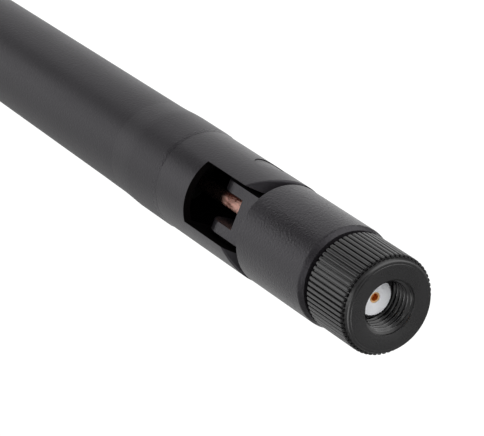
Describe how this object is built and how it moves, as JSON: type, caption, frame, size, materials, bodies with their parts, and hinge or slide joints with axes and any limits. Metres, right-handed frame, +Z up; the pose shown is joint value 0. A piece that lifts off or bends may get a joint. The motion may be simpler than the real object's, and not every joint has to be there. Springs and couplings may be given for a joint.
{
  "type": "wifi antenna",
  "caption": "Straight round wifi antenna that screws on by a knurled nut, swivels on its plug and folds to a right angle at a forked hinge.",
  "frame": {"origin": "centre of the plug's reference plane, the front of the ferrule inside the coupling nut", "axes": "+X along the antenna's axis out of the nut's mouth, so the tip points to -X; -Y out of the hinge's window; +Z up along the hinge pins"},
  "size_m": [0.195, 0.013, 0.013],
  "materials": {
    "moulded_black": "satin moulded black",
    "black_metal": "black satin plating",
    "fluoropolymer_white": "smooth turned",
    "gold_plated": "gold plated",
    "bare_brass": "drawn",
    "spring_steel": "drawn wire",
    "black_rubber": "moulded",
    "cable_brown": "clear brown jacket",
    "plated_copper": "silver-plated copper",
    "solder": "solder",
    "heat_shrink_black": "shrunk tube",
    "foam_grey": "foam"
  },
  "bodies": {
    "plug": {"connector_body": "black_metal", "insulator": "fluoropolymer_white", "centre_contact": "gold_plated", "retaining_ring": "spring_steel", "snap_ring": "spring_steel", "friction_o_ring": "black_rubber", "crimp_sleeve": "bare_brass"},
    "nut": {"coupling_nut": "black_metal"},
    "base": {"knuckle": "moulded_black"},
    "antenna": {"hinge_fork": "moulded_black", "hinge_pin_upper": "moulded_black", "hinge_pin_lower": "moulded_black", "hinge_washer_upper": "moulded_black", "hinge_washer_lower": "moulded_black", "cable_grommet": "black_rubber", "antenna_cover": "moulded_black", "cable_jacket": "cable_brown", "cable_braid": "plated_copper", "cable_insulation": "fluoropolymer_white", "cable_conductor": "plated_copper", "solder_ring": "solder", "dipole_sleeve": "bare_brass", "radiator": "bare_brass", "heat_shrink": "heat_shrink_black", "foam_spacer": "foam_grey"}
  },
  "joints": [
    {"name": "nut_turn", "type": "hinge", "parent": "plug", "child": "nut", "pos_m": [0, 0, 0], "axis": [1, 0, 0], "continuous": true},
    {"name": "base_swivel", "type": "hinge", "parent": "plug", "child": "base", "pos_m": [0, 0, 0], "axis": [1, 0, 0], "range_deg": [-180, 180]},
    {"name": "tilt", "type": "hinge", "parent": "base", "child": "antenna", "pos_m": [-0.0265, 0, 0], "axis": [0, 0, 1], "range_deg": [0, 90], "deforming": ["cable_jacket", "cable_braid", "cable_insulation", "cable_conductor"]}
  ]
}
